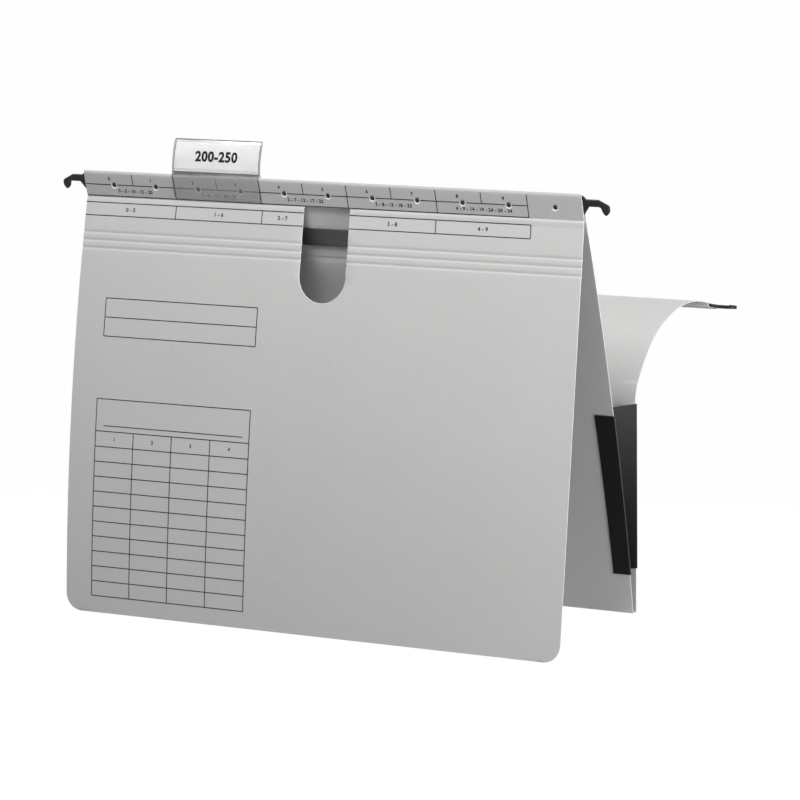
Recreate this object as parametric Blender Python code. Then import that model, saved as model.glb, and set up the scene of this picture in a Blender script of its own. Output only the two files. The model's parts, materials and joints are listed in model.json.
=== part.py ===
"""Hanging file with a document fastener inside its cover and a pocket behind.

Metres, +Z up, +X along the front rail, +Y towards the pocket. The origin lies halfway between the two
front hooks, level with the faces that bear on a file frame. The file hangs open: the cover swings
forward, the back panel swings back and the upper half of the pocket card is curled back over itself.
"""

import math

import bmesh
import bpy
from mathutils import Matrix, Vector

# Clearances
GAP = 0.0003
RUN_GAP = 0.00025

# Edges sharper than this stay crisp when shaded
SHARP_DEGREES = 30

# Card
CARD_WIDTH = 0.318
CARD_THICKNESS = 0.0005
COVER_LENGTH = 0.240
BACK_LENGTH = 0.237
COVER_CORNER_RADIUS = 0.010
FOLD_RADIUS_STEPS = 6
CORNER_STEPS = 6

# How the file hangs open, in degrees from the vertical
BACK_TILT = 15.9
COVER_TILT = 6.55
POCKET_TILT = 1.65

# Finger slot in the cover
SLOT_WIDTH = 0.0295
SLOT_DEPTH = 0.0535
SLOT_STEPS = 12

# Row of holes along the header strip
HOLE_DIAMETER = 0.003
HOLE_COUNT = 11
HOLE_FROM_LEFT = 0.0194
HOLE_FROM_RIGHT = 0.0166
HOLE_ABOVE_FOLD = 0.007
HOLE_SIDES = 12

# Pocket card: a flat lower panel, then arcs that curl it back (length, turn in degrees)
POCKET_FLAT_HEIGHT = 0.118
POCKET_BOTTOM_DEPTH = 0.0041
BAND_LENGTH = 0.030
BAND_TURNS = (55.0, 10.0, 22.0, 17.0)
BAND_STEPS = 6

# Rails and hooks
RAIL_THICKNESS = 0.001
RAIL_HEIGHT = 0.010
RAIL_TONGUE_LENGTH = 0.010
RAIL_TONGUE_SHOULDER = 0.0025
HEADER_SKIRT = 0.0037
SHANK_END = 0.006
HOOK_THICKNESS = 0.0018
HOOK_BRACE = 0.0036
HOOK_THROAT = 0.0070
HOOK_ARM_HEIGHT = 0.0037
HOOK_TIP_WIDTH = 0.0048
HOOK_TIP_DROP = 0.0054
HOOK_TIP_HEEL = 0.0031
HOOK_TIP_FLARE = 0.0009
HOOK_TIP_POINT = 0.0026
HOOK_NOSE_HEIGHT = 0.0004
HOOK_NOSE_START = 0.0016
BEARING_BELOW_RIDGE = 0.0067

# Document fastener on the back panel
FASTENER_BELOW_FOLD = 0.0184
PRONG_SPACING = 0.080
PRONG_LENGTH = 0.022
PRONG_WIDTH = 0.006
PRONG_THICKNESS = 0.0004
BAR_WIDTH = 0.0102
BAR_THICKNESS = 0.0005
BAR_FOOT = 0.003
SLIDER_LENGTH = 0.009
SLIDER_THICKNESS = 0.0004
SLIDER_LIP = 0.002
SLIDER_OVERLAP = 0.0095
SLIDER_TRAVEL = 0.010

# Linen gussets
GUSSET_BOTTOM = 0.023
GUSSET_BELOW_CURL = 0.002
GUSSET_FLAP = 0.011
GUSSET_THICKNESS = 0.0004
GUSSET_PLEAT_DEPTH = 0.0104
GUSSET_CREASE = 0.0012
GUSSET_ROWS = 7

# Index tab and its label
TAB_WIDTH = 0.057
TAB_CENTRE = -0.0705
TAB_THICKNESS = 0.00045
TAB_FOOT_ABOVE_FOLD = 0.002
TAB_REAR_LEG = 0.008
TAB_NECK_HEIGHT = 0.0016
TAB_ARC_LENGTH = 0.0185
TAB_LEAN = 16.0
TAB_TURN = 22.0
TAB_STEPS = 8
LABEL_THICKNESS = 0.0003
LABEL_SIDE_MARGIN = 0.001
LABEL_END_MARGIN = 0.0012

# Places in the panel's own frame: x along the rail, y backwards, z up along the card
HALF_WIDTH = CARD_WIDTH / 2
LAYER_OFFSET = RAIL_THICKNESS / 2 + GAP + CARD_THICKNESS / 2
RIDGE_RADIUS = LAYER_OFFSET + CARD_THICKNESS / 2
HEADER_HEIGHT = RIDGE_RADIUS + RAIL_HEIGHT + HEADER_SKIRT
RIDGE_Z = BEARING_BELOW_RIDGE
FOLD_CENTRE_Z = RIDGE_Z - RIDGE_RADIUS
COVER_FOLD_Z = RIDGE_Z - HEADER_HEIGHT
PANEL_BOTTOM_Z = COVER_FOLD_Z - BACK_LENGTH
HEADER_FRONT_Y = -RIDGE_RADIUS
PANEL_FRONT_Y = LAYER_OFFSET - CARD_THICKNESS / 2
PANEL_REAR_Y = RIDGE_RADIUS
RAIL_TOP_Z = FOLD_CENTRE_Z
RAIL_BOTTOM_Z = RAIL_TOP_Z - RAIL_HEIGHT
RAIL_BODY_END = HALF_WIDTH - SHANK_END - RAIL_TONGUE_LENGTH
RAIL_TONGUE_END = HALF_WIDTH - SHANK_END
FASTENER_Z = COVER_FOLD_Z - FASTENER_BELOW_FOLD
LIP_Y = PANEL_FRONT_Y - GAP - SLIDER_THICKNESS / 2
BAR_Y = LIP_Y - SLIDER_THICKNESS / 2 - RUN_GAP - BAR_THICKNESS / 2
PRONG_Y = BAR_Y - BAR_THICKNESS / 2 - GAP - PRONG_THICKNESS / 2
SLIDER_TOP_Y = PRONG_Y - PRONG_THICKNESS / 2 - RUN_GAP - SLIDER_THICKNESS / 2
STRIP_Y = PANEL_REAR_Y + GAP + PRONG_THICKNESS / 2
BAR_FOOT_Y = PANEL_FRONT_Y - GAP - BAR_THICKNESS / 2


def clear_scene():
    for old in list(bpy.data.objects):
        bpy.data.objects.remove(old, do_unlink=True)


def finish(name, colour, roughness, metallic=0.0, alpha=1.0):
    material = bpy.data.materials.new(name)
    material.use_nodes = True
    shader = material.node_tree.nodes["Principled BSDF"]
    shader.inputs["Base Color"].default_value = (*colour, 1.0)
    shader.inputs["Roughness"].default_value = roughness
    shader.inputs["Metallic"].default_value = metallic
    shader.inputs["Alpha"].default_value = alpha
    return material


def frame(name, location, tilt_degrees, parent=None):
    empty = bpy.data.objects.new(name, None)
    bpy.context.collection.objects.link(empty)
    empty.parent = parent
    empty.location = location
    empty.rotation_euler = (math.radians(tilt_degrees), 0, 0)
    return empty


def place(name, shape, material, parent=None, location=(0, 0, 0)):
    mesh = bpy.data.meshes.new(name)
    bmesh.ops.recalc_face_normals(shape, faces=shape.faces)
    shape.to_mesh(mesh)
    shape.free()
    mesh.materials.append(material)
    mesh.shade_smooth()
    mesh.set_sharp_from_angle(angle=math.radians(SHARP_DEGREES))
    piece = bpy.data.objects.new(name, mesh)
    bpy.context.collection.objects.link(piece)
    piece.parent = parent
    piece.location = location
    return piece


def combine(piece, helper, operation):
    helper.hide_render = True
    helper.display_type = "WIRE"
    modifier = piece.modifiers.new(operation.lower(), "BOOLEAN")
    modifier.operation = operation
    modifier.solver = "EXACT"
    modifier.object = helper


def offset_sides(path, thickness):
    """Points half a thickness to the left and right of a 2-D path, mitred at its corners."""
    points = [Vector(point) for point in path]
    runs = [(after - before).normalized() for before, after in zip(points, points[1:])]
    left, right = [], []
    for index, point in enumerate(points):
        before = runs[max(index - 1, 0)]
        after = runs[min(index, len(runs) - 1)]
        normal_before = Vector((-before.y, before.x))
        mitre = (normal_before + Vector((-after.y, after.x))).normalized()
        reach = thickness / 2 / mitre.dot(normal_before)
        left.append(point + mitre * reach)
        right.append(point - mitre * reach)
    return left, right


def ribbon(path, thickness, start, end, place_point):
    """A bent strip: a 2-D path thickened and drawn from start to end across its width."""
    left, right = offset_sides(path, thickness)
    shape = bmesh.new()
    rings = []
    for across in (start, end):
        rings.append([
            [shape.verts.new(place_point(point, across)) for point in side]
            for side in (left, right)
        ])
    (near_left, near_right), (far_left, far_right) = rings
    for i in range(len(path) - 1):
        shape.faces.new((near_left[i], near_left[i + 1], far_left[i + 1], far_left[i]))
        shape.faces.new((near_right[i], far_right[i], far_right[i + 1], near_right[i + 1]))
        shape.faces.new((near_left[i], near_right[i], near_right[i + 1], near_left[i + 1]))
        shape.faces.new((far_left[i], far_left[i + 1], far_right[i + 1], far_right[i]))
    for i in (0, len(path) - 1):
        shape.faces.new((near_left[i], far_left[i], far_right[i], near_right[i]))
    return shape


def along_x(point, across):
    return Vector((across, point.x, point.y))


def along_z(point, across):
    return Vector((point.x, point.y, across))


def plate(outline, front_y, rear_y):
    """A flat outline in x and z, extruded from its front face to its rear face."""
    shape = bmesh.new()
    corners = [shape.verts.new((x, front_y, z)) for x, z in outline]
    face = shape.faces.new(corners)
    extruded = bmesh.ops.extrude_face_region(shape, geom=[face])
    moved = [item for item in extruded["geom"] if isinstance(item, bmesh.types.BMVert)]
    bmesh.ops.translate(shape, verts=moved, vec=(0, rear_y - front_y, 0))
    return shape


def turn(centre, radius, start_degrees, end_degrees, steps):
    """Points on an arc, with degrees counted from the first axis towards the second."""
    points = []
    for step in range(steps + 1):
        angle = math.radians(start_degrees + (end_degrees - start_degrees) * step / steps)
        points.append((centre[0] + radius * math.cos(angle), centre[1] + radius * math.sin(angle)))
    return points


def bend(start, heading_degrees, length, turn_degrees, steps):
    """Points along an arc that leaves start at a heading, counted from up towards the back."""
    radius = length / math.radians(turn_degrees)
    heading = math.radians(heading_degrees)
    centre = (start[0] + radius * math.cos(heading), start[1] - radius * math.sin(heading))
    return turn(centre, radius, 180 - heading_degrees, 180 - heading_degrees - turn_degrees, steps)


def panel_point(panel, x, y, z):
    return panel.matrix_world @ Vector((x, y, z))


def make_back_panel(panel, card):
    """Header strip, fold over the rail, back panel and the narrow bottom of the pocket, in one card."""
    floor_turn = math.radians(BACK_TILT)
    bottom_run = Vector((math.cos(floor_turn), -math.sin(floor_turn))) * (
        POCKET_BOTTOM_DEPTH - CARD_THICKNESS - GAP)
    bottom_corner = Vector((LAYER_OFFSET, PANEL_BOTTOM_Z + CARD_THICKNESS / 2))
    path = [(-LAYER_OFFSET, COVER_FOLD_Z)]
    path += turn((0, FOLD_CENTRE_Z), LAYER_OFFSET, 180, 0, FOLD_RADIUS_STEPS)
    path += [tuple(bottom_corner), tuple(bottom_corner + bottom_run)]
    piece = place(
        "back_panel", ribbon(path, CARD_THICKNESS, -HALF_WIDTH, HALF_WIDTH, along_x), card, panel)
    combine(piece, make_panel_cutter(panel, card), "DIFFERENCE")
    return piece


def make_panel_cutter(panel, card):
    """Round holes through the header strip and two slits for the fastener's prongs."""
    shape = bmesh.new()
    pitch = (CARD_WIDTH - HOLE_FROM_LEFT - HOLE_FROM_RIGHT) / (HOLE_COUNT - 1)
    for index in range(HOLE_COUNT):
        x = HOLE_FROM_LEFT - HALF_WIDTH + index * pitch
        across = Matrix.Translation((x, -LAYER_OFFSET, COVER_FOLD_Z + HOLE_ABOVE_FOLD))
        bmesh.ops.create_cone(
            shape, cap_ends=True, segments=HOLE_SIDES, radius1=HOLE_DIAMETER / 2,
            radius2=HOLE_DIAMETER / 2, depth=CARD_THICKNESS + GAP,
            matrix=across @ Matrix.Rotation(math.pi / 2, 4, "X"))
    add_prong_slits(shape, LAYER_OFFSET, CARD_THICKNESS + GAP)
    return place("panel_cutter", shape, card, panel)


def add_prong_slits(shape, middle_y, depth):
    for side in (-1, 1):
        middle = Matrix.Translation((side * PRONG_SPACING / 2, middle_y, FASTENER_Z))
        size = Matrix.Diagonal((
            PRONG_THICKNESS + 2 * GAP, depth, PRONG_WIDTH + 2 * GAP, 1))
        bmesh.ops.create_cube(shape, size=1.0, matrix=middle @ size)


def make_front_cover(panel, card):
    """Cover hung on the fold under the header strip, with its finger slot and round lower corners."""
    half_slot = SLOT_WIDTH / 2
    top = -GAP
    inner = HALF_WIDTH - COVER_CORNER_RADIUS
    low = -COVER_LENGTH + COVER_CORNER_RADIUS
    outline = [(-half_slot, top), (-HALF_WIDTH, top)]
    outline += turn((-inner, low), COVER_CORNER_RADIUS, 180, 270, CORNER_STEPS)
    outline += turn((inner, low), COVER_CORNER_RADIUS, 270, 360, CORNER_STEPS)
    outline += [(HALF_WIDTH, top), (half_slot, top)]
    outline += turn((0, half_slot - SLOT_DEPTH), half_slot, 0, -180, SLOT_STEPS)
    fold = frame("cover_fold", panel_point(panel, 0, HEADER_FRONT_Y, COVER_FOLD_Z), -COVER_TILT)
    return place("front_cover", plate(outline, 0, CARD_THICKNESS), card, fold)


def make_rail(name, parent, steel):
    """Flat bar with a narrow tongue at each end that the hooks' shanks take in."""
    high = RAIL_TOP_Z - RAIL_TONGUE_SHOULDER
    low = RAIL_BOTTOM_Z + RAIL_TONGUE_SHOULDER
    right = [
        (RAIL_BODY_END, RAIL_BOTTOM_Z), (RAIL_BODY_END, low), (RAIL_TONGUE_END, low),
        (RAIL_TONGUE_END, high), (RAIL_BODY_END, high), (RAIL_BODY_END, RAIL_TOP_Z),
    ]
    outline = right + [(-x, z) for x, z in reversed(right)]
    return place(name, plate(outline, -RAIL_THICKNESS / 2, RAIL_THICKNESS / 2), steel, parent)


def make_hook(name, side, parent, plastic):
    """Hook with a forked shank round the rail's tongue; its arm bears on the file frame at z = 0."""
    shoulder = HALF_WIDTH + GAP
    shank_start = RAIL_BODY_END + GAP
    shank_end = shoulder + GAP
    slot_end = RAIL_TONGUE_END + GAP
    slot_high = RAIL_TOP_Z - RAIL_TONGUE_SHOULDER + GAP
    slot_low = RAIL_BOTTOM_Z + RAIL_TONGUE_SHOULDER - GAP
    shank = [
        (shank_start, RAIL_BOTTOM_Z), (shank_end, RAIL_BOTTOM_Z), (shank_end, RAIL_TOP_Z),
        (shank_start, RAIL_TOP_Z), (shank_start, slot_high), (slot_end, slot_high),
        (slot_end, slot_low), (shank_start, slot_low),
    ]
    throat_start = HALF_WIDTH + HOOK_BRACE
    throat_end = throat_start + HOOK_THROAT
    tip_end = throat_end + HOOK_TIP_WIDTH
    arm = [
        (shoulder, RAIL_TOP_Z), (shoulder, RAIL_BOTTOM_Z), (throat_start, 0), (throat_end, 0),
        (throat_end + HOOK_TIP_FLARE, -HOOK_TIP_HEEL), (throat_end + HOOK_TIP_POINT, -HOOK_TIP_DROP),
        (tip_end, -HOOK_TIP_HEEL), (tip_end, HOOK_NOSE_HEIGHT),
        (throat_end - HOOK_NOSE_START, HOOK_ARM_HEIGHT), (throat_start - HOOK_BRACE / 2, HOOK_ARM_HEIGHT),
    ]
    mirror = [(side * x, z) for x, z in arm]
    hook = place(name, plate(mirror, -HOOK_THICKNESS / 2, HOOK_THICKNESS / 2), plastic, parent)
    fork = plate([(side * x, z) for x, z in shank], -RAIL_THICKNESS / 2, RAIL_THICKNESS / 2)
    combine(hook, place(name + "_shank", fork, plastic, parent), "UNION")
    return hook


def make_fastener(panel, steel, dark_steel):
    """A bent steel strip whose prongs come through the card, over a cover bar, under two sliders."""
    root = PRONG_SPACING / 2
    tip = root + PRONG_LENGTH
    low = FASTENER_Z - PRONG_WIDTH / 2
    high = FASTENER_Z + PRONG_WIDTH / 2
    right = [(root, STRIP_Y), (root, PRONG_Y), (tip, PRONG_Y)]
    strip = [(-x, y) for x, y in reversed(right)] + right
    place("fastener_strip", ribbon(strip, PRONG_THICKNESS, low, high, along_z), steel, panel)

    inner_end = tip - SLIDER_OVERLAP
    joggle = BAR_FOOT_Y - BAR_Y
    end = inner_end + SLIDER_LENGTH + SLIDER_TRAVEL + GAP + joggle + BAR_FOOT
    right = [(end - BAR_FOOT - joggle, BAR_Y), (end - BAR_FOOT, BAR_FOOT_Y), (end, BAR_FOOT_Y)]
    bar_path = [(-x, y) for x, y in reversed(right)] + right
    low = FASTENER_Z - BAR_WIDTH / 2
    high = FASTENER_Z + BAR_WIDTH / 2
    bar = place("fastener_bar", ribbon(bar_path, BAR_THICKNESS, low, high, along_z), dark_steel, panel)
    slits = bmesh.new()
    add_prong_slits(slits, BAR_Y, BAR_THICKNESS + GAP)
    combine(bar, place("bar_cutter", slits, dark_steel, panel), "DIFFERENCE")

    edge = BAR_WIDTH / 2 + RUN_GAP + SLIDER_THICKNESS / 2
    lip_end = BAR_WIDTH / 2 - SLIDER_LIP
    upper = [(LIP_Y, lip_end), (LIP_Y, edge), (SLIDER_TOP_Y, edge)]
    clip = upper + [(y, -z) for y, z in reversed(upper)]
    for name, side in (("left", -1), ("right", 1)):
        shape = ribbon(clip, SLIDER_THICKNESS, -SLIDER_LENGTH / 2, SLIDER_LENGTH / 2, along_x)
        centre = (side * (inner_end + SLIDER_LENGTH / 2), 0, FASTENER_Z)
        place("fastener_slider_" + name, shape, dark_steel, panel, centre)


def make_tab(panel, clear, paper):
    """Clear holder that straddles the header strip, with a label between its two upper walls."""
    foot = RIDGE_RADIUS + RUN_GAP + TAB_THICKNESS / 2
    neck = (LABEL_THICKNESS + TAB_THICKNESS) / 2 + GAP
    neck_z = RIDGE_Z + TAB_NECK_HEIGHT
    middle = bend((0, neck_z), TAB_LEAN, TAB_ARC_LENGTH, TAB_TURN, TAB_STEPS)
    front, rear = offset_sides(middle, 2 * neck)
    crown = Vector(middle[-1]) + (Vector(middle[-1]) - Vector(middle[-2])).normalized() * neck
    path = [(-foot, COVER_FOLD_Z + TAB_FOOT_ABOVE_FOLD), (-foot, RIDGE_Z - CARD_THICKNESS)]
    path += front + [crown] + rear[::-1]
    path += [(foot, RIDGE_Z - CARD_THICKNESS), (foot, RIDGE_Z - TAB_REAR_LEG)]
    half = TAB_WIDTH / 2
    centre = (TAB_CENTRE, 0, 0)
    place("index_tab", ribbon(path, TAB_THICKNESS, -half, half, along_x), clear, panel, centre)

    full = TAB_ARC_LENGTH - LABEL_END_MARGIN
    start_share = LABEL_END_MARGIN / TAB_ARC_LENGTH
    start = bend((0, neck_z), TAB_LEAN, LABEL_END_MARGIN, TAB_TURN * start_share, 1)[-1]
    label_path = bend(
        start, TAB_LEAN + TAB_TURN * start_share, full - LABEL_END_MARGIN,
        TAB_TURN * (1 - 2 * start_share), TAB_STEPS)
    half -= LABEL_SIDE_MARGIN
    shape = ribbon(label_path, LABEL_THICKNESS, -half, half, along_x)
    place("tab_label", shape, paper, panel, centre)


def make_pocket(pocket, card):
    """Flat lower panel, then bands along the curl, each on the fold line at its lower edge."""
    middle_y = -CARD_THICKNESS / 2
    flat = [(middle_y, 0), (middle_y, POCKET_FLAT_HEIGHT - GAP / 2)]
    place("pocket_panel", ribbon(flat, CARD_THICKNESS, -HALF_WIDTH, HALF_WIDTH, along_x), card, pocket)
    start = (middle_y, POCKET_FLAT_HEIGHT)
    heading = 0.0
    for number, band_turn in enumerate(BAND_TURNS, start=1):
        share = GAP / 2 / BAND_LENGTH
        last = number == len(BAND_TURNS)
        begin = bend(start, heading, GAP / 2, band_turn * share, 1)[-1]
        trimmed = 1 - share if last else 1 - 2 * share
        path = bend(
            begin, heading + band_turn * share, BAND_LENGTH * trimmed, band_turn * trimmed, BAND_STEPS)
        end = bend(start, heading, BAND_LENGTH, band_turn, 1)[-1]
        name = "pocket_header" if last else f"pocket_band_{number}"
        if last:
            path += header_fold(end, heading + band_turn)
        local = [(y - start[0], z - start[1]) for y, z in path]
        shape = ribbon(local, CARD_THICKNESS, -HALF_WIDTH, HALF_WIDTH, along_x)
        place(name, shape, card, pocket, (0, *start))
        start, heading = end, heading + band_turn
    return start, heading


def header_fold(end, heading):
    """From the end of the curl straight on, round the rear rail and back along its outer side."""
    angle = math.radians(heading)
    ahead = Vector((math.sin(angle), math.cos(angle)))
    outward = Vector((ahead.y, -ahead.x))
    straight = HEADER_HEIGHT - RIDGE_RADIUS
    centre = Vector(end) + ahead * straight + outward * LAYER_OFFSET
    side_degrees = math.degrees(math.atan2(-outward.y, -outward.x))
    points = turn(centre, LAYER_OFFSET, side_degrees, side_degrees - 180, FOLD_RADIUS_STEPS)
    points.append(tuple(Vector(points[-1]) - ahead * straight))
    return points


def rear_rail_frame(pocket, end, heading):
    """Frame of the rear rail, with the same places in it as the front rail has in the panel."""
    angle = math.radians(heading)
    ahead = Vector((math.sin(angle), math.cos(angle)))
    outward = Vector((ahead.y, -ahead.x))
    ridge = Vector(end) + ahead * HEADER_HEIGHT + outward * LAYER_OFFSET
    bearing = ridge - ahead * RIDGE_Z
    return frame("rear_rail_frame", (0, bearing.x, bearing.y), -heading, pocket)


def gusset_edges(panel, pocket, height):
    """Points where the cloth follows the back panel and then the pocket panel, at one height."""
    inner = HALF_WIDTH - GUSSET_FLAP
    outer = HALF_WIDTH + GAP + GUSSET_THICKNESS / 2
    lift = GAP + GUSSET_THICKNESS / 2
    on_panel = ((inner, PANEL_FRONT_Y - lift), (outer, PANEL_FRONT_Y - lift), (outer, PANEL_REAR_Y + lift))
    on_pocket = ((outer, -CARD_THICKNESS - lift), (outer, lift), (inner, lift))
    front = [panel_point(panel, x, y, PANEL_BOTTOM_Z + height) for x, y in on_panel]
    rear = [panel_point(pocket, x, y, height) for x, y in on_pocket]
    return front, rear


def gusset_half(front, rear):
    return ((rear[0] - front[-1]).length - GUSSET_CREASE) / 2


def make_gusset(name, side, panel, pocket, linen):
    """Cloth strip glued to both cards, with a pleat that folds inwards between them."""
    top = POCKET_FLAT_HEIGHT - GUSSET_BELOW_CURL
    leg = math.hypot(gusset_half(*gusset_edges(panel, pocket, top)), GUSSET_PLEAT_DEPTH)
    shape = bmesh.new()
    rings = []
    for row in range(GUSSET_ROWS):
        height = GUSSET_BOTTOM + (top - GUSSET_BOTTOM) * row / (GUSSET_ROWS - 1)
        front, rear = gusset_edges(panel, pocket, height)
        opening = rear[0] - front[-1]
        depth = math.sqrt(leg ** 2 - gusset_half(front, rear) ** 2)
        along = opening.normalized() * GUSSET_CREASE / 2
        crease = front[-1] + opening / 2 - Vector((depth, 0, 0))
        path = front + [crease - along, crease + along] + rear
        left, right = offset_sides([(point.x, point.y) for point in path], GUSSET_THICKNESS)
        heights = [point.z for point in path]
        ring = [(*flat, z) for flat, z in zip(left, heights)]
        ring += [(*flat, z) for flat, z in zip(reversed(right), reversed(heights))]
        rings.append([shape.verts.new((side * x, y, z)) for x, y, z in ring])
    count = len(rings[0])
    for below, above in zip(rings, rings[1:]):
        for i in range(count):
            j = (i + 1) % count
            shape.faces.new((below[i], below[j], above[j], above[i]))
    for ring in (rings[0], rings[-1]):
        for i in range(count // 2 - 1):
            shape.faces.new((ring[i], ring[i + 1], ring[count - 2 - i], ring[count - 1 - i]))
    return place(name, shape, linen)


def main():
    clear_scene()
    card = finish("grey_card", (0.62, 0.62, 0.61), 0.8)
    linen = finish("black_linen", (0.02, 0.02, 0.022), 0.85)
    plastic = finish("black_plastic", (0.03, 0.03, 0.033), 0.45)
    steel = finish("rail_steel", (0.55, 0.56, 0.58), 0.35, 1.0)
    dark_steel = finish("dark_steel", (0.06, 0.06, 0.065), 0.4, 0.6)
    clear = finish("clear_plastic", (0.9, 0.92, 0.93), 0.08, 0.0, 0.3)
    paper = finish("white_paper", (0.88, 0.88, 0.87), 0.7)

    panel = frame("panel_frame", (0, 0, 0), BACK_TILT)
    bpy.context.view_layer.update()
    make_back_panel(panel, card)
    make_front_cover(panel, card)
    make_rail("front_rail", panel, steel)
    make_hook("front_hook_left", -1, panel, plastic)
    make_hook("front_hook_right", 1, panel, plastic)
    make_fastener(panel, steel, dark_steel)
    make_tab(panel, clear, paper)

    bottom = panel_point(panel, 0, PANEL_FRONT_Y, PANEL_BOTTOM_Z)
    bottom.y += POCKET_BOTTOM_DEPTH + CARD_THICKNESS
    pocket = frame("pocket_fold", bottom, POCKET_TILT)
    bpy.context.view_layer.update()
    end, heading = make_pocket(pocket, card)
    rear = rear_rail_frame(pocket, end, heading)
    make_rail("rear_rail", rear, steel)
    make_hook("rear_hook_left", -1, rear, plastic)
    make_hook("rear_hook_right", 1, rear, plastic)
    make_gusset("gusset_left", -1, panel, pocket, linen)
    make_gusset("gusset_right", 1, panel, pocket, linen)
    bpy.context.view_layer.update()


main()
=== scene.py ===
"""Looks of a hanging card file: slotted cover, fastener, gusseted rear pocket and clear index tab.

Metres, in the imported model's frame: +X along the front rail, +Y towards the pocket, +Z up.
"""

import json
import math

import bmesh
import bpy
import numpy as np
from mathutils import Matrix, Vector
from mathutils.bvhtree import BVHTree
from mathutils.geometry import interpolate_bezier


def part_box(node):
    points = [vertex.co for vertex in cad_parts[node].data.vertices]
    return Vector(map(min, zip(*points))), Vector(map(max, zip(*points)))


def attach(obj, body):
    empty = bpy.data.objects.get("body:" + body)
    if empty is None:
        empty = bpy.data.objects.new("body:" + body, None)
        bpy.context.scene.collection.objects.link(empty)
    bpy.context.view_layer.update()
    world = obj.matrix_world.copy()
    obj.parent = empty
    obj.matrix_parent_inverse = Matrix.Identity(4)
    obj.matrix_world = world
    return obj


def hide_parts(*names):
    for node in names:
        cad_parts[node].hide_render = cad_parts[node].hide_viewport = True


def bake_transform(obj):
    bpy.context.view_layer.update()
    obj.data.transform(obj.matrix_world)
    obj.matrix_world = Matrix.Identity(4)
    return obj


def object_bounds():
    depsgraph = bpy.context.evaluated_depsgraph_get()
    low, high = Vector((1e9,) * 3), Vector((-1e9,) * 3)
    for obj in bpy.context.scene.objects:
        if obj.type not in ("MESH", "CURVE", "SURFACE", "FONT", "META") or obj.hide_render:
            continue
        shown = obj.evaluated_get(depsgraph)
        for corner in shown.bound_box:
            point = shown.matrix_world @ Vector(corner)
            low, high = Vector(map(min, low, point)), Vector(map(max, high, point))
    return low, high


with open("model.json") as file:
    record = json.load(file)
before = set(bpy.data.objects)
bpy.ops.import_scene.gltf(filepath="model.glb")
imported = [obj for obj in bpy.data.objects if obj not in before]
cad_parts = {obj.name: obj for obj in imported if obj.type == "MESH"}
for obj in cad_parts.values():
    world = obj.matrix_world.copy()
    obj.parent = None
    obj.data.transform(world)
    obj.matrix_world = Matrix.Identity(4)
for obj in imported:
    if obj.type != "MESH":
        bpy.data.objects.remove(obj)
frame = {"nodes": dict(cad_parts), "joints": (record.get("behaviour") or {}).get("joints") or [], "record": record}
cad_low, cad_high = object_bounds()

JOINTS = {joint["name"]: joint for joint in frame["joints"]}
MOUNTS = {mount["name"]: mount for mount in frame["record"]["mounts"]}

# Card sheets, as the solids have them
CARD = 0.0005
HALF_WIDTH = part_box("back_panel")[1].x
LAYER = 0.00105
RIDGE = 0.0067
HEADER = 0.015
BACK_LENGTH = 0.237
COVER_LENGTH = 0.240
COVER_TILT = 6.55
POCKET_TILT = 1.65
POCKET_FLOOR = 0.0033
FOLD_STEPS = 10
CRUSH = (0.0003, 0.00015)
EDGE_FINISH, SHADE_FINISH = 1, 2

# Spacing of the cards' rows and columns, in degrees round a cut, and distances that count as none
COVER_COLUMN_STEP = 0.006
SLOT_TURN = 9
CORNER_TURN = 10
COVER_FOLD_STEP = 0.0002
COVER_CREASE_STEP = 0.00015
COVER_SLOT_STEP = 0.003
COVER_ROW_STEP = 0.004
COVER_FOOT_STEP = 0.002
STRIP_ROW_STEP = 0.003
BACK_COLUMN_STEP = 0.009
BACK_ROW_STEP = 0.005
BACK_CREASE_IN_STEP = 0.00018
BACK_CREASE_OUT_STEP = 0.0007
POCKET_COLUMN_STEP = 0.012
POCKET_ROW_STEP = 0.0015
NEAR = 1e-5
TINY = 1e-6

# How the card bows between its folds
COVER_BOW = 0.0058
PANEL_BOW = 0.0049
PANEL_STIFF_HALF = 0.080
PANEL_STIFF_END = 0.060

# Cover: finger slot, round lower corners, rolled fold and pressed creases
SLOT_HALF = 0.01475
SLOT_DEPTH = 0.0535
SLOT_EASE = 0.070
SLOT_START = SLOT_DEPTH - SLOT_HALF
CORNER = 0.010
FOOT_START = COVER_LENGTH - 2 * CORNER
ROLL = 0.0032
ROLL_DEPTH = 0.0005
FOLD_RIDGE = 0.0004
FOLD_RISE = 0.0012
FOLD_FALL = 0.0036
FOLD_START = 0.0001
CREASES = (0.01915, 0.0237, 0.02825)
CREASE_DEPTH = 0.00036
CREASE_IN = 0.0018
CREASE_OUT = 0.0012
PANEL_CREASE = 0.0300
PANEL_CREASE_DEPTH = 0.0003
PANEL_CREASE_IN = 0.0012
PANEL_CREASE_OUT = 0.0036
PANEL_CREASE_HALF = 0.100
PANEL_CREASE_FADE = 0.040

# Header strip: row of holes and the slits for the prongs
HOLES = 11
HOLE_RADIUS = 0.0015
HOLE_FIRST = -0.1396
HOLE_LAST = 0.1424
HOLE_UP = 0.007
HOLE_BLOCK = 0.0024
BLOCK_SHARES = (-1, -0.5, 0, 0.5, 1)
HOLE_LIP = 0.0021
HOLE_SINK = 0.00026
PRONG_X = 0.040
PRONG_BELOW = 0.0184
SLIT_HALF_WIDTH = 0.0005
SLIT_HALF_HEIGHT = 0.0033

# Printing
INK_LIFT = 0.00002
INK_DEPTH = 0.00003
LINE = 0.00054
INK_STEP = 0.004
INK_BAND = 0.0005
COUNT_ON = 5

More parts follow.
